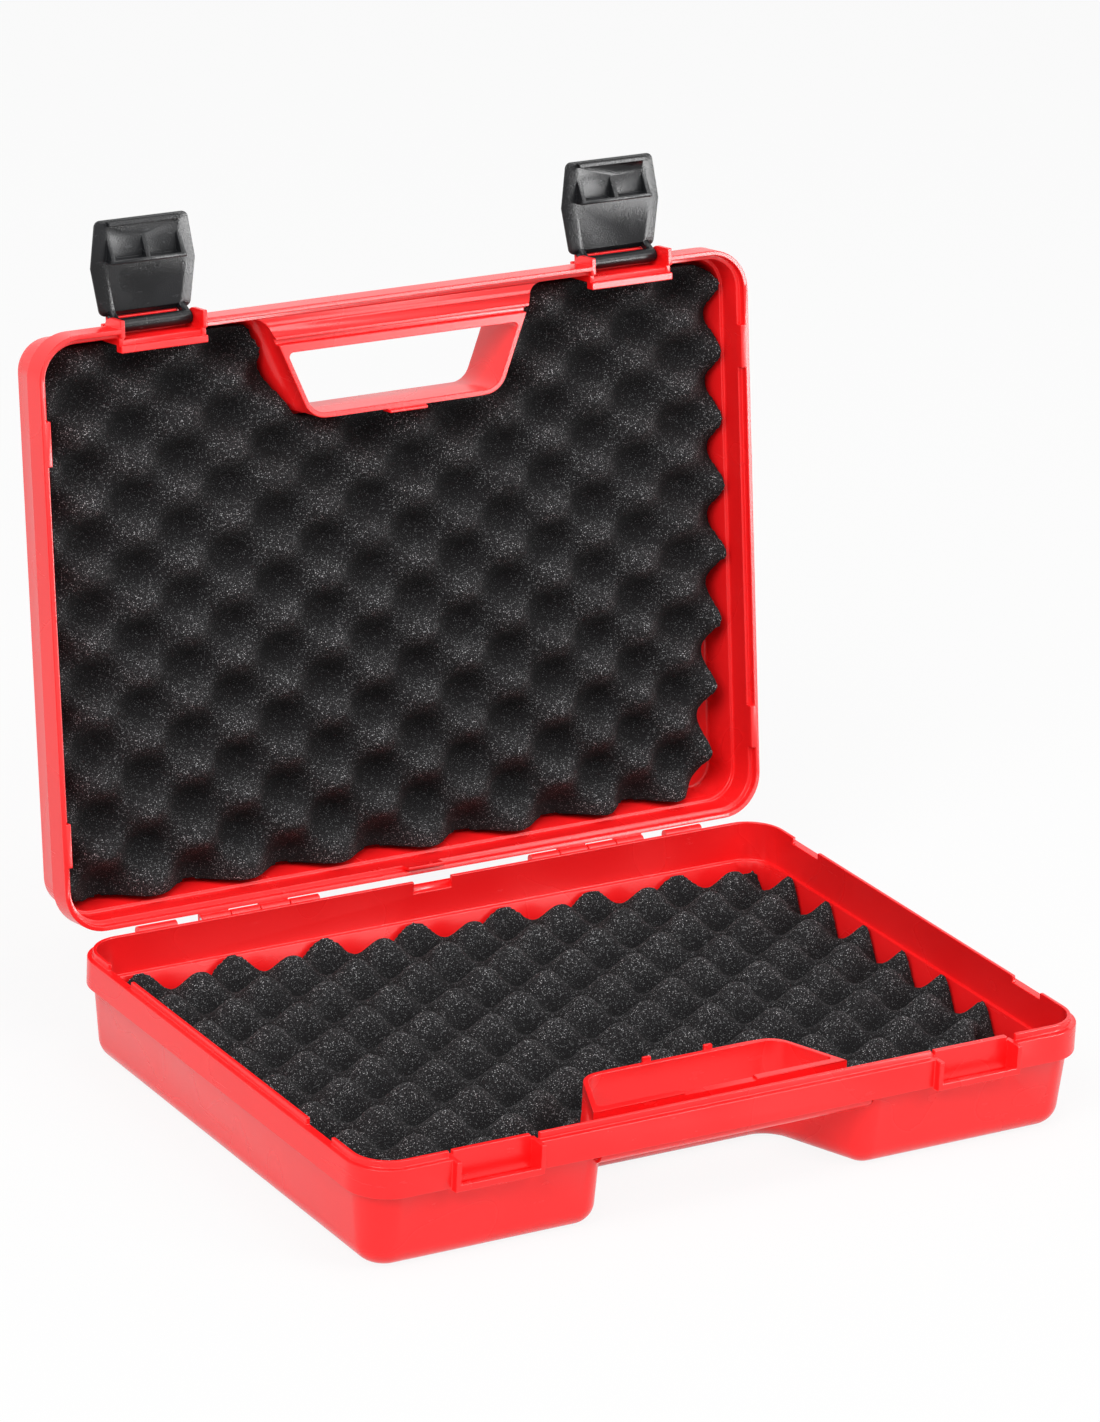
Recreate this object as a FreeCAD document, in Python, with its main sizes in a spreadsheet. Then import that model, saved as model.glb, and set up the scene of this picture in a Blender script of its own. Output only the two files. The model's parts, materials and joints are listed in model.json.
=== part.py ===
import FreeCAD, Part
import math
import os
import Sketcher

# Two-part moulded carrying case, shown open: a base tray, a lid on a rear hinge, two snap latches
# on the lid, two hinge pins and two egg-crate foam pads. Millimetres, +X to the right, -Y to the
# front with the handle, +Z up, origin at the centre of the underside. The lid, its foam and its
# latches are drawn closed and then turned open about the hinge.

SIZES = {
    # whole case
    "case_width": 360.0,
    "case_depth": 266.0,
    "base_height": 48.0,
    "lid_depth": 34.8,
    "seam_gap": 0.3,
    "lid_open_angle": 98.2,
    "latch_open_angle": 90.0,
    "cut_overrun": 2.0,
    # moulded walls
    "wall": 2.4,
    "band_height": 13.0,
    "band_wall": 4.3,
    "band_corner": 19.5,
    "body_step": 3.3,
    "draft_share": 0.097,
    "ledge_depth": 15.4,
    "base_edge_round": 10.0,
    "lid_edge_round": 4.0,
    # tongue of the base in the rebate of the lid
    "tongue_inset": 2.5,
    "tongue_height": 3.0,
    "skirt": 2.2,
    "rebate_depth": 3.4,
    "tab_length": 20.0,
    "tab_clearance": 0.5,
    "front_tab_from_middle": 87.0,
    "rear_tab_from_middle": 92.0,
    "rear_key_width": 18.5,
    "rear_key_drop": 2.0,
    # hand hole and handle bar
    "hole_front": 20.4,
    "hole_rear": 49.0,
    "hole_half_width": 58.8,
    "hole_taper_share": 0.42,
    "hole_front_round": 2.0,
    "hole_rear_round": 9.5,
    "recess_draft": 1.5,
    "foot_round": 11.0,
    "bar_depth": 18.4,
    "bar_step": 1.5,
    "bar_round": 6.0,
    "bar_rear_round": 2.0,
    "bar_rear_wall": 4.0,
    "bar_notch_width": 36.0,
    "bar_notch_depth": 1.0,
    "bar_panel_drop": 4.0,
    "bar_ridge": 12.6,
    "bar_ridge_drop": 0.6,
    "bar_groove_width": 2.4,
    "bar_groove_depth": 3.0,
    "prong_from_middle": 15.3,
    "prong_width": 4.0,
    "prong_rise": 2.0,
    "prong_root": 5.0,
    "prong_thickness": 1.5,
    "key_half_width": 9.6,
    "key_drop": 2.0,
    "key_thickness": 1.4,
    "loop_clearance": 0.3,
    # rear hinge
    "hinge_setback": 2.9,
    "knuckle_radius": 2.5,
    "knuckle_first": 55.0,
    "knuckle_length": 15.0,
    "knuckle_gap": 0.5,
    "knuckle_root": 2.0,
    "pin_radius": 1.2,
    "pin_clearance": 0.05,
    "pin_end_wall": 2.0,
    "pin_end_gap": 0.5,
    "lug_near": 127.0,
    "lug_far": 146.0,
    # latch pockets
    "latch_from_side": 61.2,
    "pocket_width": 38.0,
    "cheek": 2.25,
    "frame_proud": 3.7,
    "base_frame_drop": 13.4,
    "bar_thickness": 2.5,
    "bar_height": 3.2,
    "base_pocket_face": 4.5,
    "pocket_wall": 2.5,
    "pocket_wall_rise": 1.8,
    "rise_clearance": 0.4,
    "lid_pocket_face": 5.2,
    "lid_pocket_depth": 17.0,
    "roof_crest": 2.5,
    "crest_clearance": 0.5,
    "lid_frame_height": 16.5,
    "lid_frame_round": 7.0,
    "lid_relief_depth": 2.6,
    "lid_rim_face_depth": 5.0,
    "lid_rim_face_thickness": 3.3,
    # latches
    "latch_axis_setback": 0.5,
    "latch_axis_depth": 12.0,
    "barrel_radius": 3.1,
    "barrel_end_gap": 0.4,
    "stub_radius": 2.0,
    "stub_clearance": 0.05,
    "stub_length": 1.6,
    "plate_clearance": 0.4,
    "plate_thickness": 3.0,
    "plate_top": 3.5,
    "plate_bottom": 45.6,
    "plate_middle": 25.0,
    "plate_top_half": 22.0,
    "plate_middle_half": 25.4,
    "plate_bottom_half": 22.4,
    "plate_round": 3.0,
    "plate_edge": 0.8,
    "plate_margin": 4.5,
    "plate_end_margin": 2.0,
    "arm_width": 3.0,
    "arm_root": 6.0,
    "hook_play": 0.9,
    "hook_thickness": 2.0,
    "hook_length": 37.0,
    "hook_reach": 5.0,
    "gusset_from_middle": 17.0,
    "gusset_thickness": 2.0,
    "gusset_height": 9.0,
    "lip_top": 43.0,
    "lip_height": 1.8,
    "lip_half": 17.5,
    "lip_reach": 2.4,
    # foam pads
    "foam_clearance": 0.3,
    "base_foam_peak": 12.2,
    "base_foam_swing": 9.5,
    "base_foam_pitch_x": 46.4,
    "base_foam_pitch_y": 31.6,
    "base_foam_shift_x": 12.2,
    "base_foam_shift_y": 16.6,
    "lid_foam_peak": 10.0,
    "lid_foam_swing": 7.5,
    "lid_foam_pitch_x": 46.7,
    "lid_foam_pitch_y": 31.3,
    "lid_foam_shift_x": 11.2,
    "lid_foam_shift_y": 24.6,
}

# Samples of the foam's wave in one pitch
foam_steps = 4


class Size:
    # A length that knows its number and its formula in the sheet

    def __init__(self, number, text):
        self.number = number
        self.text = text

    def __add__(self, other):
        other = as_size(other)
        return Size(self.number + other.number, "(%s + %s)" % (self.text, other.text))

    def __sub__(self, other):
        other = as_size(other)
        return Size(self.number - other.number, "(%s - %s)" % (self.text, other.text))

    def __mul__(self, other):
        other = as_size(other)
        return Size(self.number * other.number, "(%s * %s)" % (self.text, other.text))

    def __truediv__(self, other):
        other = as_size(other)
        return Size(self.number / other.number, "(%s / %s)" % (self.text, other.text))

    def __neg__(self):
        return Size(-self.number, "(-%s)" % self.text)

    def __rmul__(self, other):
        return as_size(other) * self

    def __radd__(self, other):
        return as_size(other) + self


def as_size(size):
    if isinstance(size, Size):
        return size
    return Size(float(size), repr(float(size)))


def slant(share):
    # Length along a line that leans by a share of its height
    return Size(math.hypot(1, share.number), "sqrt(1 + %s ^ 2)" % share.text)


doc = FreeCAD.newDocument("CarryingCase")
sheet = doc.addObject("Spreadsheet::Sheet", "Sizes")
for row, (alias, number) in enumerate(SIZES.items(), start=1):
    sheet.set("A%d" % row, alias)
    sheet.set("B%d" % row, str(number))
    sheet.setAlias("B%d" % row, alias)
doc.recompute()


def size(alias):
    return Size(float(sheet.get(alias)), "Sizes." + alias)


# Drawing helpers

def bind(item, prop, length):
    item.setExpression(prop, as_size(length).text)


def place(item, x, y, z):
    bind(item, "Placement.Base.x", x)
    bind(item, "Placement.Base.y", y)
    bind(item, "Placement.Base.z", z)


def block(name, x, y, z):
    item = doc.addObject("Part::Box", name)
    bind(item, "Length", x[1] - x[0])
    bind(item, "Width", y[1] - y[0])
    bind(item, "Height", z[1] - z[0])
    place(item, x[0], y[0], z[0])
    return item


def rod(name, radius, x, y, z):
    item = doc.addObject("Part::Cylinder", name)
    item.Placement = FreeCAD.Placement(FreeCAD.Vector(), FreeCAD.Rotation(FreeCAD.Vector(0, 1, 0), 90))
    bind(item, "Radius", radius)
    bind(item, "Height", x[1] - x[0])
    place(item, x[0], y, z)
    return item


def round_corner(before, corner, after, radius):
    # Ends and centre of the arc that rounds a corner between two straight lines
    back = (before - corner).normalize()
    ahead = (after - corner).normalize()
    half = back.getAngle(ahead) / 2
    start = corner + back * (radius / math.tan(half))
    end = corner + ahead * (radius / math.tan(half))
    centre = corner + (back + ahead).normalize() * (radius / math.sin(half))
    left_turn = (corner - before).cross(after - corner).z > 0
    return start, end, centre, left_turn


def arc_of(start, end, centre, radius):
    first = math.atan2(start.y - centre.y, start.x - centre.x)
    last = math.atan2(end.y - centre.y, end.x - centre.x)
    if last < first:
        last += 2 * math.pi
    return Part.ArcOfCircle(Part.Circle(centre, FreeCAD.Vector(0, 0, 1), radius), first, last)


TURNS = {
    "plan": FreeCAD.Rotation(),
    "side": FreeCAD.Rotation(FreeCAD.Vector(1, 1, 1), 120),
    "front": FreeCAD.Rotation(FreeCAD.Vector(1, 0, 0), 90),
}
DRAWN_ALONG = {
    "plan": FreeCAD.Vector(0, 0, 1),
    "side": FreeCAD.Vector(1, 0, 0),
    "front": FreeCAD.Vector(0, 1, 0),
}
OFFSET_AXIS = {"plan": "z", "side": "x", "front": "y"}


def outline(name, view, offset, corners):
    # Closed sketch of straight lines whose corners (across, up, radius) may be rounded. Each corner
    # is a point where two lines cross, held at its distances from the origin.
    sketch = doc.addObject("Sketcher::SketchObject", name)
    sketch.Placement = FreeCAD.Placement(FreeCAD.Vector(), TURNS[view])
    bind(sketch, "Placement.Base." + OFFSET_AXIS[view], offset)
    corners = [(as_size(across), as_size(up), radius) for across, up, radius in corners]
    points = [FreeCAD.Vector(across.number, up.number, 0) for across, up, radius in corners]
    count = len(points)
    starts = list(points)
    ends = list(points)
    arcs = {}
    for i, (across, up, radius) in enumerate(corners):
        if radius is not None:
            start, end, centre, left_turn = round_corner(
                points[i - 1], points[i], points[(i + 1) % count], radius.number)
            starts[i] = start
            ends[i] = end
            arc = arc_of(start, end, centre, radius.number)
            if not left_turn:
                arc = arc_of(end, start, centre, radius.number)
            arcs[i] = (arc, left_turn)
    # line i runs from corner i to the next corner
    lines = [
        sketch.addGeometry(Part.LineSegment(ends[i], starts[(i + 1) % count]), False)
        for i in range(count)
    ]

    def hold(kind, *where, length=None):
        if length is None:
            return sketch.addConstraint(Sketcher.Constraint(kind, *where))
        index = sketch.addConstraint(Sketcher.Constraint(kind, *where, length.number))
        bind(sketch, "Constraints[%d]" % index, length)
        return index

    for i, (across, up, radius) in enumerate(corners):
        before = lines[i - 1]
        after = lines[i]
        if radius is None:
            hold("Coincident", before, 2, after, 1)
            hold("DistanceX", -1, 1, after, 1, length=across)
            hold("DistanceY", -1, 1, after, 1, length=up)
            continue
        arc, left_turn = arcs[i]
        bend = sketch.addGeometry(arc, False)
        first, last = (1, 2) if left_turn else (2, 1)
        hold("Tangent", before, 2, bend, first)
        hold("Tangent", bend, last, after, 1)
        hold("Radius", bend, length=radius)
        tip = sketch.addGeometry(Part.Point(points[i]), True)
        hold("PointOnObject", tip, 1, before)
        hold("PointOnObject", tip, 1, after)
        hold("DistanceX", -1, 1, tip, 1, length=across)
        hold("DistanceY", -1, 1, tip, 1, length=up)
    return sketch


def prism(name, view, start, length, corners):
    sketch = outline(name + "_outline", view, start, corners)
    item = doc.addObject("Part::Extrusion", name)
    item.Base = sketch
    item.DirMode = "Custom"
    item.Dir = DRAWN_ALONG[view]
    item.Solid = True
    bind(item, "LengthFwd", length)
    return item


def loft(name, sections):
    item = doc.addObject("Part::Loft", name)
    item.Sections = sections
    item.Solid = True
    item.Ruled = True
    return item


def fuse(name, shapes):
    item = doc.addObject("Part::MultiFuse", name)
    item.Shapes = shapes
    item.Refine = True
    return item


def cut(name, base, tool):
    item = doc.addObject("Part::Cut", name)
    item.Base = base
    item.Tool = tool
    item.Refine = True
    return item


def common(name, base, tool):
    item = doc.addObject("Part::Common", name)
    item.Base = base
    item.Tool = tool
    item.Refine = True
    return item


def mirrored(side, near, far):
    # A stretch along X on the right side, or its mirror image on the left
    if side < 0:
        return (-far, -near)
    return (near, far)


def about(middle, half):
    return (middle - half, middle + half)


# Places that several pieces share

case_width = size("case_width")
case_depth = size("case_depth")
wall = size("wall")
overrun = size("cut_overrun")
band_height = size("band_height")
band_wall = size("band_wall")
front = -(case_depth / 2)
rear = case_depth / 2
base_rim = size("base_height")
lid_rim = base_rim + size("seam_gap")
hinge_y = rear + size("hinge_setback")
hinge_z = base_rim + size("seam_gap") / 2
latch_middle = case_width / 2 - size("latch_from_side")
latch_y = front + size("latch_axis_setback")
latch_z = lid_rim + size("latch_axis_depth")
pocket_half = size("pocket_width") / 2
frame_half = pocket_half + size("cheek")
barrel_half = pocket_half - size("barrel_end_gap")
pocket_rear = front + size("base_pocket_face") + size("pocket_wall")
pocket_relief = pocket_rear + size("rise_clearance")
hole_front = front + size("hole_front")
hole_rear = front + size("hole_rear")
taper = size("hole_taper_share")
SIDES = {"left": -1, "right": 1}


def hole_half(y):
    # Half the width of the hand hole's sides, which close in towards the rear
    return size("hole_half_width") - taper * (y - hole_front)


class Half:
    # One half of the case, measured by its depth from the rim

    def __init__(self, name, rim, depth, way, edge_round):
        self.name = name
        self.rim = rim
        self.depth = depth
        self.way = way
        self.edge_round = edge_round

    def level(self, depth):
        if self.way < 0:
            return self.rim - depth
        return self.rim + depth

    def span(self, near, far):
        if self.way < 0:
            return (self.level(far), self.level(near))
        return (self.level(near), self.level(far))

    def draft(self, depth):
        # Share of the drafted body height that a depth has passed
        return (depth - band_height) / (self.depth - band_height)

    def inset(self, depth):
        return size("body_step") + size("draft_share") * (depth - band_height)

    def block(self, name, x, y, near, far):
        return block(self.name + "_" + name, x, y, self.span(near, far))

    def prism(self, name, near, far, corners):
        start, end = self.span(near, far)
        return prism(self.name + "_" + name, "plan", start, end - start, corners)


def ring_plan(inset):
    # Rounded rectangle that lies an inset within the band
    x = case_width / 2 - inset
    y = case_depth / 2 - inset
    radius = size("band_corner") - inset
    return [(-x, -y, radius), (x, -y, radius), (x, y, radius), (-x, y, radius)]


def tub_plan(inset, grow, draft):
    # Plan of the body: a rounded rectangle with a recess at the front for the hand. The walls of the
    # recess lie outside the hand hole by a growth square to them and by a draft along X and Y.
    x = case_width / 2 - inset
    y = case_depth / 2 - inset
    radius = size("band_corner") - inset
    loop_y = hole_rear + grow + draft
    side = grow * slant(taper) + draft
    front_x = hole_half(-y) + side
    loop_x = hole_half(loop_y) + side
    foot = size("foot_round") - grow
    loop = size("hole_rear_round") + grow
    return [
        (-x, -y, radius), (-front_x, -y, foot), (-loop_x, loop_y, loop), (loop_x, loop_y, loop),
        (front_x, -y, foot), (x, -y, radius), (x, y, radius), (-x, y, radius),
    ]


def tub(half, name, near, far, inset, grow):
    # Drafted tray between two depths of one half, its outline set in from the outside by an inset,
    # with its far edge rounded
    sections = []
    for label, depth in (("near", near), ("far", far)):
        plan = tub_plan(half.inset(depth) + inset, grow, size("recess_draft") * half.draft(depth))
        sketch_name = "%s_%s_%s" % (half.name, name, label)
        sections.append(outline(sketch_name, "plan", half.level(depth), plan))
    body = loft("%s_%s_walls" % (half.name, name), sections)
    doc.recompute()
    far_level = half.level(far).number
    reach = abs(far.number - near.number) / 2
    radius = (half.edge_round - grow).number
    item = doc.addObject("Part::Fillet", "%s_%s" % (half.name, name))
    item.Base = body
    item.Edges = [
        (index, radius, radius)
        for index, edge in enumerate(body.Shape.Edges, start=1)
        if all(abs(vertex.Z - far_level) < reach for vertex in edge.Vertexes)
    ]
    return item


def knuckle(half, name, x):
    # Hinge knuckle with the web that joins it to the band
    radius = size("knuckle_radius")
    root = rear - size("knuckle_root")
    if half.way < 0:
        web_z = (hinge_z - radius, half.rim)
    else:
        web_z = (half.rim, hinge_z + radius)
    return [
        rod(name + "_barrel", radius, x, hinge_y, hinge_z),
        block(name + "_web", x, (root, hinge_y), web_z),
    ]


def knuckles(half, first):
    # Every second knuckle of both groups belongs to one half
    shapes = []
    pitch = size("knuckle_length")
    gap = size("knuckle_gap") / 2
    for side_name, side in SIDES.items():
        for place_number in (first, first + 2):
            start = size("knuckle_first") + pitch * place_number
            x = mirrored(side, start + gap, start + pitch - gap)
            name = "%s_knuckle_%s_%d" % (half.name, side_name, place_number)
            shapes += knuckle(half, name, x)
    return shapes


def pin_stretch(side, extra):
    pitch = size("knuckle_length")
    near = size("knuckle_first") + size("pin_end_wall")
    far = size("knuckle_first") + pitch * 4 - size("knuckle_gap")
    return mirrored(side, near - extra, far + extra)


def pin_bores(half):
    radius = size("pin_radius") + size("pin_clearance")
    gap = size("pin_end_gap")
    return [
        rod("%s_pin_bore_%s" % (half.name, name), radius, pin_stretch(side, gap), hinge_y, hinge_z)
        for name, side in SIDES.items()
    ]


def outer_form(half):
    # Band round the rim, drafted body and the lower part of the handle bar
    zero = as_size(0)
    band = half.prism("band", zero, band_height, ring_plan(zero))
    body = tub(half, "body", band_height - wall, half.depth, zero, zero)
    bar_front = front + size("bar_step")
    ends = hole_half(front)
    near = half.level(band_height - wall)
    far = half.level(size("bar_depth"))
    bar = prism(half.name + "_bar", "side", -ends, ends + ends, [
        (bar_front, near, None),
        (bar_front, far, size("bar_round")),
        (hole_front, far, size("bar_rear_round")),
        (hole_front, near, None),
    ])
    return [band, body, bar]


def hollow(half):
    # Inside of one half down to its ledge and on to its floor, with the hand hole
    zero = as_size(0)
    ledge = size("ledge_depth")
    over = zero - overrun
    upper_plan = tub_plan(band_wall, wall, zero)
    upper = half.prism("hollow_rim", over, ledge, upper_plan)
    lower = tub(half, "hollow", ledge - wall, half.depth - wall, wall, wall)
    front_half = hole_half(hole_front)
    rear_half = hole_half(hole_rear)
    hole = half.prism("hand_hole", over, size("bar_depth") + overrun, [
        (-front_half, hole_front, size("hole_front_round")),
        (front_half, hole_front, size("hole_front_round")),
        (rear_half, hole_rear, size("hole_rear_round")),
        (-rear_half, hole_rear, size("hole_rear_round")),
    ])
    return [upper, lower, hole]


def bar_stretch(extra):
    # From the hollow beside one end of the handle bar to the hollow beside the other
    half = hole_half(front) + wall * slant(taper) + extra
    return (-half, half)


def ring(half, name, outer, inner, near, far):
    outside = half.prism(name + "_outside", near, far, ring_plan(outer))
    inside = half.prism(name + "_inside", near - overrun, far + overrun, ring_plan(inner))
    return cut("%s_%s" % (half.name, name), outside, inside)


def side_tabs(half, name, length, inner, outer, near, far):
    # Stretches of both side rims, one towards the front and one towards the rear
    shapes = []
    for side_name, side in SIDES.items():
        x = mirrored(side, case_width / 2 - inner, case_width / 2 - outer)
        ends = (("front", -size("front_tab_from_middle")), ("rear", size("rear_tab_from_middle")))
        for end, middle in ends:
            y = about(middle, length / 2)
            shapes.append(half.block("%s_%s_%s" % (name, side_name, end), x, y, near, far))
    return shapes


def base_shell(half):
    zero = as_size(0)
    bar_wall = hole_front - size("bar_rear_wall")
    trough = half.block("trough", bar_stretch(zero), (front + band_wall, bar_wall),
                        zero - overrun, size("bar_depth") - wall)
    notch = half.block("bar_notch", about(zero, size("bar_notch_width") / 2),
                       (bar_wall - overrun, hole_front + overrun), zero - overrun, size("bar_notch_depth"))
    outside = fuse("base_outside", outer_form(half))
    tray = cut("base_tray", outside, fuse("base_hollows", hollow(half) + [trough, notch]))
    # tongue that enters the lid, open where the lid's tabs, key and latch frames come down
    tongue_inset = size("tongue_inset")
    tongue = ring(half, "tongue", tongue_inset, band_wall, zero - size("tongue_height"), zero + wall)
    gap_length = size("tab_length") + size("tab_clearance") * 2
    gaps = side_tabs(half, "tongue_gap", gap_length, band_wall + overrun, zero - overrun,
                     zero - size("tongue_height") - overrun, zero)
    key_half = size("rear_key_width") / 2 + size("tab_clearance")
    gaps.append(half.block("key_notch", about(zero, key_half),
                           (rear - band_wall - overrun, rear - size("skirt")),
                           zero - size("tongue_height") - overrun,
                           size("rear_key_drop") + size("tab_clearance")))
    added = []
    face = front + size("base_pocket_face")
    wall_rear = pocket_rear
    drop = size("base_frame_drop")
    frame_front = front - size("frame_proud")
    for name, side in SIDES.items():
        middle = latch_middle * side
        gaps.append(half.block("pocket_" + name, about(middle, pocket_half),
                               (front - overrun, face), zero - overrun, band_height))
        gaps.append(half.block("pocket_tongue_" + name, about(middle, frame_half + size("rise_clearance")),
                               (front - overrun, face), zero - size("tongue_height") - overrun, zero))
        for cheek_name, cheek_side in SIDES.items():
            cheek_x = mirrored(cheek_side, pocket_half, frame_half)
            x = (middle + cheek_x[0], middle + cheek_x[1])
            added.append(half.block("cheek_%s_%s" % (name, cheek_name), x,
                                    (frame_front, wall_rear), zero, drop))
        added.append(half.block("catch_bar_" + name, about(middle, frame_half),
                                (frame_front, frame_front + size("bar_thickness")),
                                drop - size("bar_height"), drop))
        added.append(half.block("pocket_wall_" + name, about(middle, frame_half),
                                (face, wall_rear), zero, size("ledge_depth")))
        added.append(half.block("pocket_rise_" + name, about(middle, pocket_half - size("rise_clearance")),
                                (face, wall_rear), zero - size("pocket_wall_rise"), wall))
        prong_x = about(size("prong_from_middle") * side, size("prong_width") / 2)
        loop_rear = hole_rear + wall
        prong_rear = loop_rear + size("loop_clearance") + size("prong_thickness")
        added.append(half.block("prong_root_" + name, prong_x, (hole_rear + wall / 2, prong_rear),
                                zero, size("prong_root")))
        added.append(half.block("prong_" + name, prong_x, (loop_rear + size("loop_clearance"), prong_rear),
                                zero - size("prong_rise"), wall))
        lug_x = mirrored(side, size("lug_near"), size("lug_far"))
        added += knuckle(half, "base_lug_" + name, lug_x)
    added += knuckles(half, 0)
    opened = cut("base_opened", fuse("base_with_tongue", [tray, tongue]), fuse("base_gaps", gaps))
    framed = fuse("base_framed", [opened] + added)
    return cut("base_shell", framed, fuse("base_bores", pin_bores(half)))


def lid_shell(half):
    zero = as_size(0)
    bar_wall = hole_front - size("bar_rear_wall")
    stretch = bar_stretch(size("foot_round"))
    inner = front + band_wall
    ridge = front + size("bar_ridge")
    # the bar's inside is a panel that slopes from the band up to a ridge, with a groove behind it
    slope = prism("lid_bar_slope", "side", stretch[0], stretch[1] - stretch[0], [
        (inner, half.level(zero - overrun), None),
        (ridge, half.level(zero - overrun), None),
        (ridge, half.level(size("bar_ridge_drop")), None),
        (inner, half.level(size("bar_panel_drop")), None),
    ])
    groove = half.block("bar_groove", stretch, (bar_wall - size("bar_groove_width"), bar_wall),
                        zero - overrun, size("bar_groove_depth"))
    outside = fuse("lid_outside", outer_form(half))
    tray = cut("lid_tray", outside, fuse("lid_hollows", hollow(half) + [slope, groove]))
    rebate = ring(half, "rebate", size("skirt"), band_wall + size("loop_clearance"),
                  zero - overrun, size("rebate_depth"))
    gaps = [rebate]
    tab_depth = size("rebate_depth") + wall
    added = side_tabs(half, "tab", size("tab_length"), band_wall, size("skirt") / 2, zero, tab_depth)
    added.append(half.block("rear_key", about(zero, size("rear_key_width") / 2),
                            (rear - band_wall, rear - size("tongue_inset")),
                            zero - size("rear_key_drop"), tab_depth))
    key_x = about(zero, size("key_half_width"))
    key_front = hole_rear + wall + size("loop_clearance")
    key_rear = key_front + size("key_thickness")
    added.append(half.block("loop_key_root", key_x, (hole_rear + wall / 2, key_rear),
                            zero, size("prong_root")))
    added.append(half.block("loop_key", key_x, (key_front, key_rear), zero - size("key_drop"), wall))
    face = front + size("lid_pocket_face")
    wall_rear = face + size("pocket_wall")
    relief = pocket_relief
    frame_front = front - size("frame_proud")
    depth = size("lid_pocket_depth")
    bores = pin_bores(half)
    for name, side in SIDES.items():
        middle = latch_middle * side
        gaps.append(half.block("pocket_" + name, about(middle, pocket_half),
                               (front - overrun, face), zero - overrun, depth))
        for cheek_name, cheek_side in SIDES.items():
            cheek_x = mirrored(cheek_side, pocket_half, frame_half)[0]
            cheek_label = "lid_cheek_%s_%s" % (name, cheek_name)
            added.append(prism(cheek_label, "side", middle + cheek_x, size("cheek"), [
                (frame_front, half.level(zero), None),
                (wall_rear, half.level(zero), None),
                (wall_rear, half.level(size("lid_frame_height")), None),
                (frame_front, half.level(size("lid_frame_height")), size("lid_frame_round")),
            ]))
        added.append(half.block("pocket_wall_" + name, about(middle, frame_half),
                                (face, wall_rear), size("lid_relief_depth"), depth + wall))
        added.append(half.block("pocket_roof_" + name, about(middle, frame_half),
                                (front, wall_rear), depth, depth + wall))
        # the roof's crest stands behind the barrel, between the latch's arms
        crest_half = barrel_half - size("arm_width") - size("crest_clearance")
        added.append(half.block("roof_crest_" + name, about(middle, crest_half),
                                (front - size("roof_crest"), wall_rear), depth, depth + wall))
        added.append(half.block("rim_face_" + name, about(middle, frame_half),
                                (relief, relief + size("lid_rim_face_thickness")),
                                zero, size("lid_rim_face_depth")))
        bores.append(rod("lid_stub_bore_" + name, size("stub_radius") + size("stub_clearance"),
                         about(middle, pocket_half + size("stub_length")), latch_y, latch_z))
        bores.append(half.block("pocket_relief_" + name, about(middle, frame_half + overrun),
                                (front + size("base_pocket_face") - size("rise_clearance"), relief),
                                zero - overrun, zero + size("pocket_wall_rise")))
    added += knuckles(half, 1)
    opened = cut("lid_opened", tray, fuse("lid_gaps", gaps))
    framed = fuse("lid_framed", [opened] + added)
    return cut("lid_shell", framed, fuse("lid_bores", bores))


def hinge_pin(name, side):
    return rod("hinge_pin_" + name, size("pin_radius"), pin_stretch(side, as_size(0)), hinge_y, hinge_z)


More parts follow.
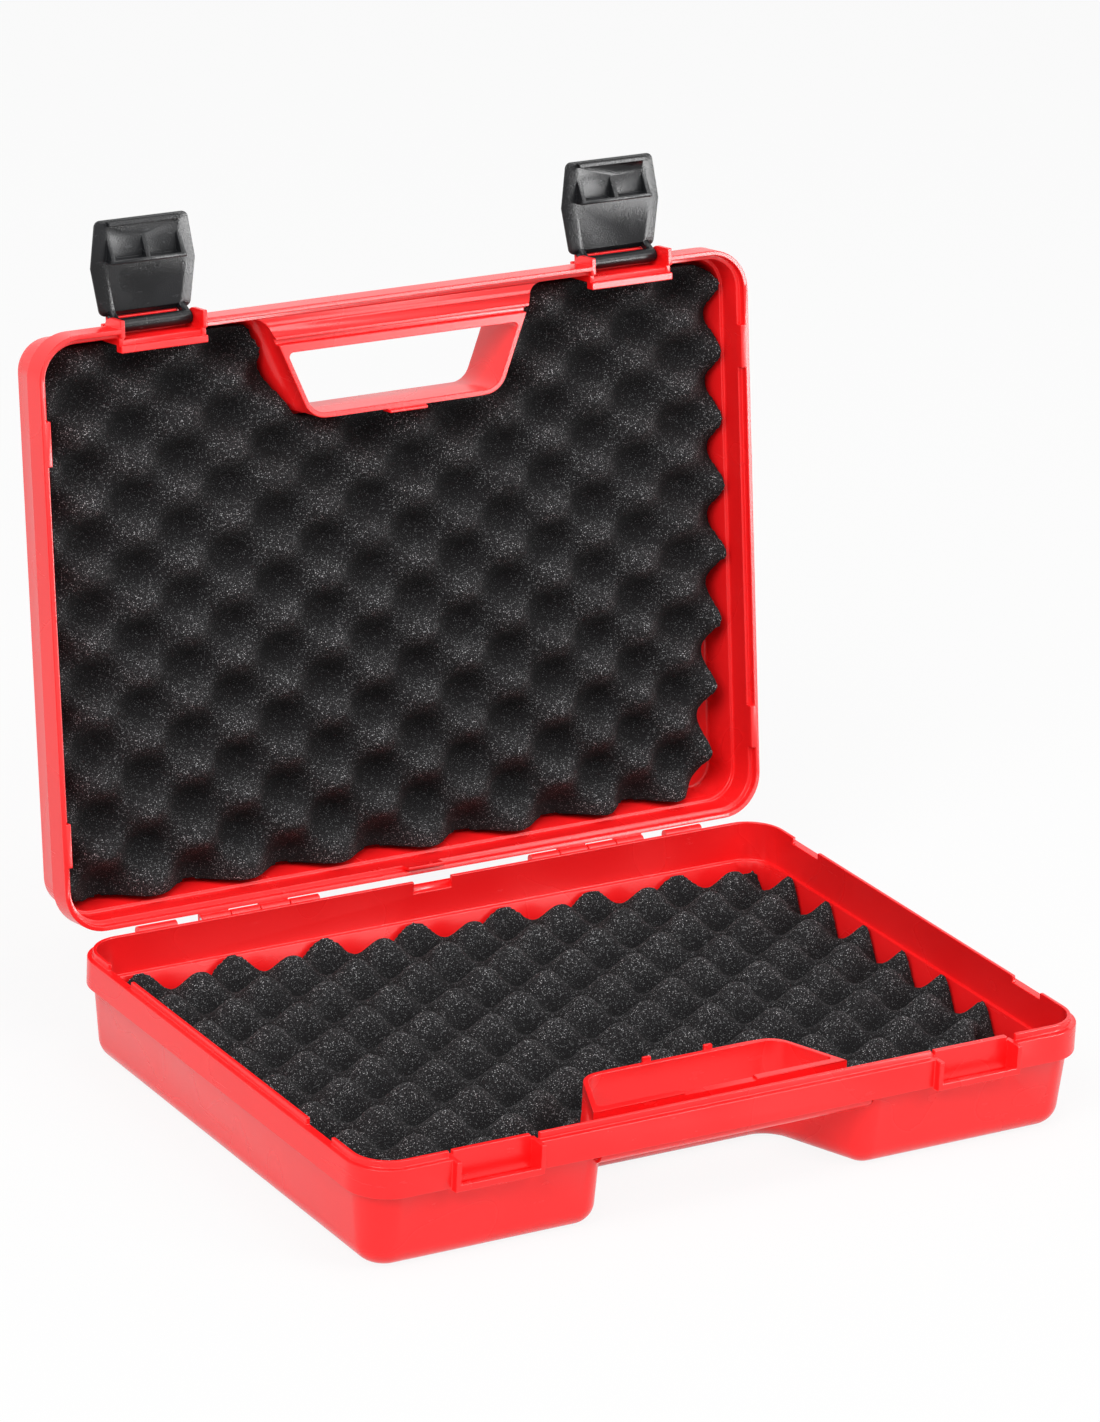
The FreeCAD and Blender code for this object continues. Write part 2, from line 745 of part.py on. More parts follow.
def latch(name, side):
    # Snap latch, drawn closed: barrel with stub pins, two arms, flared plate, hook ledge on gussets, lip
    middle = latch_middle * side
    title = "latch_" + name
    stub_half = barrel_half + size("stub_length")
    barrel = rod(title + "_barrel", size("barrel_radius"), about(middle, barrel_half), latch_y, latch_z)
    stubs = rod(title + "_stubs", size("stub_radius"), about(middle, stub_half), latch_y, latch_z)
    inner = front - size("frame_proud") - size("plate_clearance")
    outer = inner - size("plate_thickness")
    top = latch_z - size("plate_top")
    bottom = latch_z - size("plate_bottom")
    belly = latch_z - size("plate_middle")
    corner = size("plate_round")
    edge = size("plate_edge")

    def plate_outline(label, y, side_inset, end_inset):
        # Flared outline of the plate, drawn in at its sides and ends
        low_half = size("plate_bottom_half") - side_inset
        wide_half = size("plate_middle_half") - side_inset
        high_half = size("plate_top_half") - side_inset
        return outline("%s_plate_%s" % (title, label), "front", y, [
            (middle - low_half, bottom + end_inset, corner),
            (middle + low_half, bottom + end_inset, corner),
            (middle + wide_half, belly, None),
            (middle + high_half, top - end_inset, corner),
            (middle - high_half, top - end_inset, corner),
            (middle - wide_half, belly, None),
        ])

    zero = as_size(0)
    plate = loft(title + "_plate", [
        plate_outline("face", outer, edge, edge),
        plate_outline("front", outer + edge, zero, zero),
        plate_outline("rear", inner - edge, zero, zero),
        plate_outline("inside", inner, size("plate_margin"), size("plate_end_margin")),
    ])
    hook_top = base_rim - size("base_frame_drop") - size("hook_play")
    hook_bottom = hook_top - size("hook_thickness")
    reach = inner + size("hook_reach")
    root = inner - size("plate_thickness") / 2
    hook = block(title + "_hook", about(middle, size("hook_length") / 2),
                 (root, reach), (hook_bottom, hook_top))
    shapes = [barrel, stubs, plate, hook]
    for label, arm_side in SIDES.items():
        arm_x = mirrored(arm_side, barrel_half - size("arm_width"), barrel_half)
        arm_end = latch_z - size("arm_root")
        shapes.append(prism("%s_arm_%s" % (title, label), "side", middle + arm_x[0], size("arm_width"), [
            (root, top, None),
            (root, arm_end, None),
            (inner, arm_end, None),
            (latch_y, latch_z - size("barrel_radius"), None),
            (latch_y, latch_z, None),
        ]))
    for label, offset in (("left", -size("gusset_from_middle")), ("middle", as_size(0)),
                          ("right", size("gusset_from_middle"))):
        x = about(middle + offset, size("gusset_thickness") / 2)
        shapes.append(prism("%s_gusset_%s" % (title, label), "side", x[0], x[1] - x[0], [
            (root, hook_bottom, None),
            (root, hook_bottom - size("gusset_height"), None),
            (inner, hook_bottom - size("gusset_height"), None),
            (reach, hook_bottom, None),
        ]))
    lip_top = latch_z - size("lip_top")
    shapes.append(block(title + "_lip", about(middle, size("lip_half")), (root, inner + size("lip_reach")),
                        (lip_top - size("lip_height"), lip_top)))
    return fuse(title, shapes)


def wave_solid(half, name):
    # Egg-crate foam over the whole plan: a wave of peaks and hollows in two directions, in facets,
    # closed down to the floor of its half
    step_x = size(half.name + "_foam_pitch_x").number / foam_steps
    step_y = size(half.name + "_foam_pitch_y").number / foam_steps
    shift_x = size(half.name + "_foam_shift_x").number
    shift_y = size(half.name + "_foam_shift_y").number
    swing = size(half.name + "_foam_swing").number
    middle = size(half.name + "_foam_peak").number + swing
    floor = half.level(half.depth - wall - size("foam_clearance")).number
    across = math.ceil(case_width.number / step_x / 2)
    along = math.ceil(case_depth.number / step_y / 2)
    start_x = math.fmod(shift_x, step_x)
    start_y = math.fmod(shift_y, step_y)

    def top(i, j):
        x = start_x + i * step_x
        y = start_y + j * step_y
        turn_x = 2 * math.pi * (x - shift_x) / (step_x * foam_steps)
        turn_y = 2 * math.pi * (y - shift_y) / (step_y * foam_steps)
        depth = middle - swing * math.cos(turn_x) * math.cos(turn_y)
        return FreeCAD.Vector(x, y, half.rim.number + half.way * depth)

    def foot(i, j):
        point = top(i, j)
        return FreeCAD.Vector(point.x, point.y, floor)

    def face(*points):
        return Part.Face(Part.makePolygon(list(points) + [points[0]]))

    columns = range(-across, across)
    rows = range(-along, along)
    faces = []
    for i in columns:
        for j in rows:
            a, b, c, d = top(i, j), top(i + 1, j), top(i + 1, j + 1), top(i, j + 1)
            if (i + j) % 2:
                faces += [face(a, b, c), face(a, c, d)]
            else:
                faces += [face(a, b, d), face(b, c, d)]
    low, high = -across, across
    near, far = -along, along
    for i in columns:
        for j in (near, far):
            faces.append(face(top(i, j), top(i + 1, j), foot(i + 1, j), foot(i, j)))
    for j in rows:
        for i in (low, high):
            faces.append(face(top(i, j), top(i, j + 1), foot(i, j + 1), foot(i, j)))
    rim = [foot(i, near) for i in range(low, high)]
    rim += [foot(high, j) for j in range(near, far)]
    rim += [foot(i, far) for i in range(high, low, -1)]
    rim += [foot(low, j) for j in range(far, near, -1)]
    faces.append(face(*rim))
    solid = Part.makeSolid(Part.makeShell(faces))
    if solid.Volume < 0:
        solid.reverse()
    item = doc.addObject("Part::Feature", name)
    item.Shape = solid
    return item


def foam(half, pocket_rear, pocket_depth):
    clearance = size("foam_clearance")
    waves = wave_solid(half, half.name + "_waves")
    zero = as_size(0)
    ledge = size("ledge_depth")
    lining = wall + clearance
    bed = tub(half, "foam_bed", ledge, half.depth - lining, lining, lining)
    mouth_plan = tub_plan(half.inset(ledge) + lining, lining, size("recess_draft") * half.draft(ledge))
    mouth = half.prism("foam_mouth", zero, ledge, mouth_plan)
    space = fuse(half.name + "_foam_space", [bed, mouth])
    cuts = []
    for name, side in SIDES.items():
        middle = latch_middle * side
        cuts.append(half.block("foam_cut_" + name, about(middle, frame_half + clearance),
                               (front, pocket_rear + clearance), zero - overrun, pocket_depth + clearance))
    filled = common(half.name + "_foam_filled", waves, space)
    return cut(half.name + "_foam", filled, fuse(half.name + "_foam_cuts", cuts))


def turned_open(item, hinge_turn):
    item.Placement = hinge_turn.multiply(item.Placement)
    return item


def turn_about(y, z, angle):
    centre = FreeCAD.Vector(0, y.number, z.number)
    turn = FreeCAD.Rotation(FreeCAD.Vector(1, 0, 0), -angle.number)
    return FreeCAD.Placement(FreeCAD.Vector(), turn, centre)


base_half = Half("base", base_rim, base_rim, -1, size("base_edge_round"))
lid_half = Half("lid", lid_rim, size("lid_depth"), 1, size("lid_edge_round"))
base_nodes = [base_shell(base_half), hinge_pin("left", SIDES["left"]), hinge_pin("right", SIDES["right"])]
base_nodes.append(foam(base_half, pocket_rear, size("ledge_depth")))
lid_nodes = [lid_shell(lid_half)]
lid_nodes.append(foam(
    lid_half, pocket_relief + size("lid_rim_face_thickness"), size("lid_pocket_depth") + wall))
latch_nodes = [latch(name, side) for name, side in SIDES.items()]
doc.recompute()

lid_turn = turn_about(hinge_y, hinge_z, size("lid_open_angle"))
latch_turn = turn_about(latch_y, latch_z, size("latch_open_angle"))
for node in lid_nodes:
    turned_open(node, lid_turn)
for node in latch_nodes:
    turned_open(node, lid_turn.multiply(latch_turn))
doc.recompute()

nodes = base_nodes + lid_nodes + latch_nodes
for item in doc.Objects:
    if "Invalid" in item.State or "Error" in item.State:
        raise RuntimeError("%s did not build: %s" % (item.Label, item.State))
for node in nodes:
    if node.Shape.isNull() or not node.Shape.isValid() or len(node.Shape.Solids) != 1:
        raise RuntimeError("%s is not one sound solid" % node.Label)
    print("%-16s %10.0f mm3" % (node.Label, node.Shape.Volume))

os.makedirs("parts", exist_ok=True)
for node in nodes:
    node.Shape.exportStep("parts/%s.step" % node.Label)
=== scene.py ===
import json
import math
import bmesh
import bpy
from mathutils import Matrix, Vector, noise
from mathutils.bvhtree import BVHTree
from mathutils.geometry import intersect_point_line
from mathutils.kdtree import KDTree


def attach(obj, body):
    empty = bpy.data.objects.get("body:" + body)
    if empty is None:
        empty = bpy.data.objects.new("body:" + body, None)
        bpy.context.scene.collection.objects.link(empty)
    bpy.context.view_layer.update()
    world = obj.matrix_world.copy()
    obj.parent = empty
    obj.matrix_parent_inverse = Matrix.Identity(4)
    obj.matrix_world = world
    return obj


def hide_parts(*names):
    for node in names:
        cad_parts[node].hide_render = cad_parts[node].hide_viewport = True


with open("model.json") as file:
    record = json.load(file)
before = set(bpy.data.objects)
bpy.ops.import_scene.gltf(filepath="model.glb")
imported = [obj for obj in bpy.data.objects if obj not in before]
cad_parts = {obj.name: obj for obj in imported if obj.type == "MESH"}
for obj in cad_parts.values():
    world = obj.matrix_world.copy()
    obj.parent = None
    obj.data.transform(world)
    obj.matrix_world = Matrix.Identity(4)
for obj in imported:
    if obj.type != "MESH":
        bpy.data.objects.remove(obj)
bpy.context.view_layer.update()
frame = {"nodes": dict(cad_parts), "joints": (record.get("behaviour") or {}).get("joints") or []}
mm = 0.001
scene = bpy.context.scene
scene.view_settings.view_transform = "Standard"
print("frame loaded:", ", ".join(sorted(frame["nodes"])))

# Camera, at the photograph's angle

viewCamera = {
    "azimuth": math.radians(31.579),
    "elevation": math.radians(20.663),
    "roll": math.radians(2.536),
    "position": Vector((-1.4089, -2.2573, 1.1791)),
    "focalShare": 4.6667,  # focal length over the picture's long side
    "sensor": 36.0,
    "clipEnd": 50.0,
}


def addCamera(look):
    azimuth, elevation = look["azimuth"], look["elevation"]
    ahead = Vector((
        math.sin(azimuth) * math.cos(elevation),
        math.cos(azimuth) * math.cos(elevation),
        -math.sin(elevation),
    ))
    right = Vector((math.cos(azimuth), -math.sin(azimuth), 0))
    up = right.cross(ahead)
    across = math.cos(look["roll"]) * right + math.sin(look["roll"]) * up
    upright = -math.sin(look["roll"]) * right + math.cos(look["roll"]) * up
    data = bpy.data.cameras.new("viewCamera")
    data.sensor_width = look["sensor"]
    data.lens = look["sensor"] * look["focalShare"]
    data.clip_end = look["clipEnd"]
    camera = bpy.data.objects.new("viewCamera", data)
    turn = Matrix((across, upright, -ahead)).transposed().to_4x4()
    camera.matrix_world = Matrix.Translation(look["position"]) @ turn
    scene.collection.objects.link(camera)
    scene.camera = camera


addCamera(viewCamera)
print("camera placed")

# Node helpers


def addNode(tree, kind, **settings):
    node = tree.nodes.new("ShaderNode" + kind)
    for key, value in settings.items():
        setattr(node, key, value)
    return node


def feed(tree, socket, value):
    # a socket takes a link or a plain value
    if isinstance(value, bpy.types.NodeSocket):
        tree.links.new(value, socket)
    else:
        socket.default_value = value


def mathNode(tree, operation, first, second=0.0, clamp=False):
    node = addNode(tree, "Math", operation=operation, use_clamp=clamp)
    feed(tree, node.inputs[0], first)
    feed(tree, node.inputs[1], second)
    return node.outputs[0]


def noiseNode(tree, vector, scale, detail=3.0, roughness=0.5):
    node = addNode(tree, "TexNoise")
    feed(tree, node.inputs["Vector"], vector)
    feed(tree, node.inputs["Scale"], scale)
    feed(tree, node.inputs["Detail"], detail)
    feed(tree, node.inputs["Roughness"], roughness)
    return node.outputs["Fac"]


def rangeNode(tree, value, low, high, newLow=0.0, newHigh=1.0):
    node = addNode(tree, "MapRange", interpolation_type="SMOOTHSTEP")
    feed(tree, node.inputs["Value"], value)
    feed(tree, node.inputs["From Min"], low)
    feed(tree, node.inputs["From Max"], high)
    feed(tree, node.inputs["To Min"], newLow)
    feed(tree, node.inputs["To Max"], newHigh)
    return node.outputs["Result"]


def mixColour(tree, share, first, second):
    node = addNode(tree, "Mix", data_type="RGBA")
    feed(tree, node.inputs["Factor"], share)
    feed(tree, node.inputs[6], first)
    feed(tree, node.inputs[7], second)
    return node.outputs[2]


def bumpNode(tree, height, strength, distance):
    node = addNode(tree, "Bump")
    feed(tree, node.inputs["Height"], height)
    node.inputs["Strength"].default_value = strength
    node.inputs["Distance"].default_value = distance
    return node.outputs["Normal"]


def newGroup(name, inputs, outputs):
    group = bpy.data.node_groups.new(name, "ShaderNodeTree")
    for label, kind in inputs:
        group.interface.new_socket(label, in_out="INPUT", socket_type="NodeSocket" + kind)
    for label, kind in outputs:
        group.interface.new_socket(label, in_out="OUTPUT", socket_type="NodeSocket" + kind)
    return group, group.nodes.new("NodeGroupInput").outputs, group.nodes.new("NodeGroupOutput").inputs


def placeGroup(tree, group, **values):
    node = addNode(tree, "Group", node_tree=group)
    for label, value in values.items():
        feed(tree, node.inputs[label], value)
    return node.outputs


def newMaterial(name, **constants):
    material = bpy.data.materials.new(name)
    material.use_nodes = True
    tree = material.node_tree
    shader = tree.nodes["Principled BSDF"]
    for label, value in constants.items():
        shader.inputs[label].default_value = value
    coords = addNode(tree, "TexCoord").outputs["Object"]
    return material, tree, shader.inputs, coords


# Moulded skin shared by the shells and the latches: fine grain, slow waviness of the walls and scuffs

skinLook = {
    "grainDetail": 2.0,
    "waveDetail": 1.0,
    "scuffStretch": (1.0, 0.25, 3.0),
    "scuffTurn": (0.4, 0.7, 0.3),
    "scuffDetail": 6.0,
    "scuffRoughness": 0.62,
    "scuffRange": (0.60, 0.76),
}


def mouldedSkinGroup(look):
    group, given, put = newGroup(
        "mouldedSkin",
        [("Vector", "Vector"), ("Grain Scale", "Float"), ("Wave Scale", "Float"), ("Wave Share", "Float"),
         ("Scuff Scale", "Float")],
        [("Height", "Float"), ("Tone", "Float"), ("Scuff", "Float")],
    )
    grain = noiseNode(group, given["Vector"], given["Grain Scale"], look["grainDetail"])
    wave = noiseNode(group, given["Vector"], given["Wave Scale"], look["waveDetail"])
    mixed = addNode(group, "Mix", data_type="FLOAT")
    feed(group, mixed.inputs[0], given["Wave Share"])
    feed(group, mixed.inputs[2], grain)
    feed(group, mixed.inputs[3], wave)
    stretch = addNode(group, "Mapping")
    feed(group, stretch.inputs["Vector"], given["Vector"])
    stretch.inputs["Scale"].default_value = look["scuffStretch"]
    stretch.inputs["Rotation"].default_value = look["scuffTurn"]
    streaks = noiseNode(group, stretch.outputs["Vector"], given["Scuff Scale"], look["scuffDetail"],
                        look["scuffRoughness"])
    feed(group, put["Height"], mixed.outputs[0])
    feed(group, put["Tone"], wave)
    feed(group, put["Scuff"], rangeNode(group, streaks, *look["scuffRange"]))
    return group


mouldedSkin = mouldedSkinGroup(skinLook)

shellLook = {
    "deep": (0.920, 0.0095, 0.0110, 1),
    "bright": (0.970, 0.0130, 0.0145, 1),
    "scuffed": (0.960, 0.0300, 0.0320, 1),
    "ior": 1.49,
    "specular": 0.44,
    "roughness": (0.23, 0.29),
    "toneRange": (0.3, 0.7),
    "scuffShare": 0.35,
    "scuffRoughness": 0.10,
    "scuffScale": 60.0,
    "grainScale": 1500.0,
    "waveScale": 20.0,
    "waveShare": 0.45,
    "bump": (0.12, 0.0004),
}

latchLook = {
    "deep": (0.0055, 0.0058, 0.0066, 1),
    "bright": (0.0095, 0.0100, 0.0115, 1),
    "scuffed": (0.0700, 0.0720, 0.0780, 1),
    "ior": 1.5,
    "specular": 0.28,
    "roughness": (0.19, 0.25),
    "toneRange": (0.3, 0.7),
    "scuffShare": 0.4,
    "scuffRoughness": 0.12,
    "scuffScale": 150.0,
    "grainScale": 1600.0,
    "waveScale": 55.0,
    "waveShare": 0.12,
    "bump": (0.32, 0.0004),
}


def plasticMaterial(name, look):
    material, tree, shader, coords = newMaterial(
        name, **{"IOR": look["ior"], "Specular IOR Level": look["specular"]})
    skin = placeGroup(tree, mouldedSkin, **{
        "Vector": coords, "Grain Scale": look["grainScale"], "Wave Scale": look["waveScale"],
        "Wave Share": look["waveShare"], "Scuff Scale": look["scuffScale"]})
    tone = mixColour(tree, rangeNode(tree, skin["Tone"], *look["toneRange"]), look["deep"], look["bright"])
    faint = mathNode(tree, "MULTIPLY", skin["Scuff"], look["scuffShare"])
    feed(tree, shader["Base Color"], mixColour(tree, faint, tone, look["scuffed"]))
    satin = rangeNode(tree, skin["Tone"], *look["toneRange"], *look["roughness"])
    worn = mathNode(tree, "MULTIPLY", skin["Scuff"], look["scuffRoughness"])
    feed(tree, shader["Roughness"], mathNode(tree, "ADD", satin, worn))
    feed(tree, shader["Normal"], bumpNode(tree, skin["Height"], *look["bump"]))
    return material


pinLook = {
    "colour": (0.56, 0.56, 0.58, 1),
    "roughness": (0.22, 0.42),
    "lineScale": 900.0,
    "lineStretch": (0.02, 1.0, 1.0),
    "lineDetail": 3.0,
    "lineRange": (0.3, 0.7),
    "bump": (0.25, 0.0001),
}


def pinMaterial(look):
    material, tree, shader, coords = newMaterial("drawnSteel", Metallic=1.0)
    along = addNode(tree, "Mapping")
    feed(tree, along.inputs["Vector"], coords)
    along.inputs["Scale"].default_value = look["lineStretch"]
    lines = noiseNode(tree, along.outputs["Vector"], look["lineScale"], look["lineDetail"])
    shader["Base Color"].default_value = look["colour"]
    feed(tree, shader["Roughness"], rangeNode(tree, lines, *look["lineRange"], *look["roughness"]))
    feed(tree, shader["Normal"], bumpNode(tree, lines, *look["bump"]))
    return material


foamLook = {
    "surface": {"Roughness": 0.95, "Specular IOR Level": 0.06, "Sheen Weight": 0.02, "Sheen Roughness": 0.6},
    "pore": (0.0060, 0.0056, 0.0060, 1),
    "cell": (0.0400, 0.0388, 0.0402, 1),
    "glintColour": (0.95, 0.95, 0.97, 1),
    "grainScale": 2300.0,
    "grainDetail": (2.0, 0.6),
    "grainRange": (0.36, 0.66),
    "glintScale": 1850.0,
    "glintPower": 4.2,          # the higher, the fewer bright painted glints
    "glintSize": (0.16, 0.46),
    "patchScale": 45.0,
    "patchDetail": 2.0,
    "patchRange": (0.3, 0.7),
    "patchTone": (0.8, 1.0),
    "paintedShadeRange": (0.02, 0.8),     # of the wave's depth, from peak to hollow, over which shade is painted into the colour
    "paintedHollowShade": 0.22,         # painted shade: the share of the colour that is left in the hollows
    "bump": (0.6, 0.0005),
}


def foamMaterial(look):
    material, tree, shader, coords = newMaterial("openCellFoam", **look["surface"])
    grain = noiseNode(tree, coords, look["grainScale"], *look["grainDetail"])
    fibres = rangeNode(tree, grain, *look["grainRange"])
    patches = noiseNode(tree, coords, look["patchScale"], look["patchDetail"])
    # painted shade: the foam's colour darkens from the wave's peaks, down its flanks and into its hollows,
    # where shade falls
    depth = addNode(tree, "Attribute", attribute_name="waveDepth").outputs["Fac"]
    shade = rangeNode(tree, depth, *look["paintedShadeRange"], 1.0, look["paintedHollowShade"])
    # light is the painted shade times the random patches of tone
    light = mathNode(tree, "MULTIPLY", shade,
                     rangeNode(tree, patches, *look["patchRange"], *look["patchTone"]))
    body = mixColour(tree, mathNode(tree, "MULTIPLY", fibres, light), look["pore"], look["cell"])
    # painted glints: sparse white dots in the foam's colour stand in for light caught by its cells, and they
    # are fainter where shade is painted
    glintCells = addNode(tree, "TexVoronoi", feature="F1")
    feed(tree, glintCells.inputs["Vector"], coords)
    glintCells.inputs["Scale"].default_value = look["glintScale"]
    chosen = addNode(tree, "SeparateColor")
    feed(tree, chosen.inputs[0], glintCells.outputs["Color"])
    dot = rangeNode(tree, glintCells.outputs["Distance"], *look["glintSize"], 1.0, 0.0)
    bright = mathNode(tree, "POWER", chosen.outputs[0], look["glintPower"])
    glint = mathNode(tree, "MULTIPLY", mathNode(tree, "MULTIPLY", bright, dot), light)
    feed(tree, shader["Base Color"], mixColour(tree, glint, body, look["glintColour"]))
    feed(tree, shader["Normal"], bumpNode(tree, grain, *look["bump"]))
    return material


shellPlastic = plasticMaterial("redPolypropylene", shellLook)
latchPlastic = plasticMaterial("darkLatchPlastic", latchLook)
pinSteel = pinMaterial(pinLook)
foamCells = foamMaterial(foamLook)
print("materials made")

# Moulded pieces: the shells and latches with softened edges

edgeLook = {
    "mergeDistance": 0.002 * mm,
    "flatAngle": math.radians(0.6),
    "sharpAngle": math.radians(32),
    "shellEdge": 0.45 * mm,
    "latchEdge": 0.30 * mm,
    "edgeSegments": 2,
    "widestRoom": 4.5 * mm,
    "roomShare": 0.4,       # of the room beside a softened edge
    "chainTurn": 0.8,       # cosine above which two edges run on as one
    "crossTurn": 0.5,       # cosine below which an edge lies across the face
    "samples": (0.1, 0.5, 0.9),     # places along an edge where its room is measured
    "repairs": 4,
    "touch": 0.02 * mm,     # a softened face this near to the moulded form lies on it
    "stray": 0.6 * mm,      # and one this far has left it
    "calmReach": 0.9 * mm,  # edges this near to a fault stay sharp
}


def faceRoom(edge):
    # least distance straight across the two faces of an edge
    start, end = (vert.co for vert in edge.verts)
    along = (end - start).normalized()
    room = edgeLook["widestRoom"]
    for face in edge.link_faces:
        for other in face.edges:
            if set(other.verts) & set(edge.verts):
                continue
            near, far = (vert.co for vert in other.verts)
            for share in edgeLook["samples"]:
                point = start.lerp(end, share)
                _, part = intersect_point_line(point, near, far)
                across = near.lerp(far, min(1.0, max(0.0, part))) - point
                gap = across.length
                if gap > 0 and abs(across.dot(along)) < edgeLook["crossTurn"] * gap:
                    room = min(room, gap)
    return room


def softenWeights(shape, width):
    # each sharp edge is softened as far as the edges beside it leave room
    weights = shape.edges.layers.float.new("bevel_weight_edge")
    sharp = {edge for edge in shape.edges
             if edge.is_manifold and edge.calc_face_angle() > edgeLook["sharpAngle"]}
    for edge in sharp:
        room = faceRoom(edge)
        for vert in edge.verts:
            along = (edge.other_vert(vert).co - vert.co).normalized()
            for beside in vert.link_edges:
                if beside is edge:
                    continue
                way = (beside.other_vert(vert).co - vert.co).normalized()
                runsOn = beside in sharp and -along.dot(way) > edgeLook["chainTurn"]
                if not runsOn:
                    room = min(room, beside.calc_length())
        edge[weights] = min(1.0, room * edgeLook["roomShare"] / width)


def softenFaults(piece, form):
    # corners of softened faces that turn over or leave the moulded form
    shape = bmesh.new()
    shape.from_object(piece, bpy.context.evaluated_depsgraph_get())
    bmesh.ops.triangulate(shape, faces=shape.faces)
    spots = []
    for face in shape.faces:
        _, normal, _, gap = form.find_nearest(face.calc_center_median())
        turned = gap < edgeLook["touch"] and face.normal.dot(normal) < 0
        if turned or gap > edgeLook["stray"]:
            spots += [vert.co.copy() for vert in face.verts]
    shape.free()
    return spots


def calmEdges(mesh, spots):
    # edges beside such corners stay sharp
    near = KDTree(len(spots))
    for index, spot in enumerate(spots):
        near.insert(spot, index)
    near.balance()
    weights = mesh.attributes["bevel_weight_edge"].data
    for edge in mesh.edges:
        ends = [mesh.vertices[index].co for index in edge.vertices]
        if min(near.find(end)[2] for end in ends) < edgeLook["calmReach"]:
            weights[edge.index].value = 0.0
    mesh.update()


def mouldedPiece(node, name, edge, material, body):
    mesh = frame["nodes"][node].data.copy()
    mesh.name = name
    shape = bmesh.new()
    shape.from_mesh(mesh)
    bmesh.ops.remove_doubles(shape, verts=shape.verts, dist=edgeLook["mergeDistance"])
    bmesh.ops.dissolve_limit(
        shape, angle_limit=edgeLook["flatAngle"], verts=shape.verts, edges=shape.edges)
    bmesh.ops.connect_verts_concave(shape, faces=shape.faces)
    softenWeights(shape, edge)
    for face in shape.faces:
        face.smooth = True
    form = BVHTree.FromBMesh(shape)
    shape.to_mesh(mesh)
    shape.free()
    mesh.set_sharp_from_angle(angle=edgeLook["sharpAngle"])
    mesh.materials.clear()
    mesh.materials.append(material)
    piece = bpy.data.objects.new(name, mesh)
    scene.collection.objects.link(piece)
    soften = piece.modifiers.new("softEdges", "BEVEL")
    soften.width = edge
    soften.segments = edgeLook["edgeSegments"]
    soften.limit_method = "WEIGHT"
    soften.use_clamp_overlap = False
    soften.harden_normals = True
    for _ in range(edgeLook["repairs"]):
        spots = softenFaults(piece, form)
        print(name, "edges softened,", len(spots) // 3, "faces to mend")
        if not spots:
            break
        calmEdges(mesh, spots)
    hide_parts(node)
    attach(piece, body)


for half in ("base", "lid"):
    mouldedPiece(half + "_shell", half + "Tray", edgeLook["shellEdge"], shellPlastic, half)
for side in ("left", "right"):
    latchBody = "latch_" + side
    mouldedPiece(latchBody, side + "Latch", edgeLook["latchEdge"], latchPlastic, latchBody)
    pin = frame["nodes"]["hinge_pin_" + side]
    pin.data.materials.clear()
    pin.data.materials.append(pinSteel)
print("shells, latches and pins dressed")

# Egg-crate foam pads, laid out closed: x, y and the depth below the rim of the half

hinge = next(joint for joint in frame["joints"] if joint["name"] == "lid_hinge")
hingePlace = Matrix.Translation(Vector(hinge["pos_m"]))
openTurn = hingePlace @ Matrix.Rotation(-math.radians(hinge["range_deg"][1]), 4, "X") @ hingePlace.inverted()

padPlan = {
    "caseHalfWidth": 180 * mm,
    "caseHalfDepth": 133 * mm,
    "cornerRound": 11 * mm,
    "wallInset": 6.6 * mm,
    "footInset": 9.4 * mm,
    "loopRear": 53.8 * mm,      # from the front face of the case
    "loopRearHalf": 50.2 * mm,
    "loopFront": -11 * mm,
    "loopFrontHalf": 76.8 * mm,
    "loopRound": 11 * mm,
    "pocketMiddle": 118.8 * mm,
    "pocketHalf": 22.2 * mm,
    "roundSegments": 8,
    "gridStep": 2.2 * mm,
    "voxel": 1.75 * mm,
    "smoothing": 0.5,
    "unevenness": 0.55 * mm,
    "unevenScale": 38.0,
    "sunkShare": 0.5,       # of the unevenness, by which the whole surface lies lower
}

basePad = {
    "rim": 48.0 * mm,
    "down": -1,
    "peak": 12.2 * mm,
    "swing": 9.6 * mm,
    "pitch": (46.4 * mm, 31.6 * mm),
    "shift": (12.2 * mm, 16.6 * mm),
    "skew": math.radians(0.3),
    "cutBack": None,
    "hold": None,
    "floor": 44.9 * mm,
    "pocketRear": 7.8 * mm,
    "pocketDepth": 16.5 * mm,
    "cornerCut": (154 * mm, -79 * mm),     # the front right corner of the pad is cut away
    "turn": Matrix.Identity(4),
}

lidPad = {
    "rim": 48.3 * mm,
    "down": 1,
    "peak": 9.2 * mm,
    "swing": 8.4 * mm,
    "pitch": (46.7 * mm, 31.35 * mm),
    "shift": (11.3 * mm, 24.7 * mm),
    "skew": math.radians(0.4),
    "cutBack": [(173.4 * mm, 8 * mm), (160.5 * mm, 126.4 * mm)],   # the right edge runs in towards the hinge
    "leanFrom": 100 * mm,       # beyond this the waves lean in with the right edge
    "hold": (119 * mm, 0.35),   # the cut edge at the hinge keeps the wave of its last row
    "floor": 31.7 * mm,
    "pocketRear": 11.2 * mm,
    "pocketDepth": 20.2 * mm,
    "cornerCut": None,
    "turn": openTurn,
}


def meshPiece(name, shape):
    bmesh.ops.recalc_face_normals(shape, faces=shape.faces)
    mesh = bpy.data.meshes.new(name)
    shape.to_mesh(mesh)
    shape.free()
    piece = bpy.data.objects.new(name, mesh)
    scene.collection.objects.link(piece)
    return piece


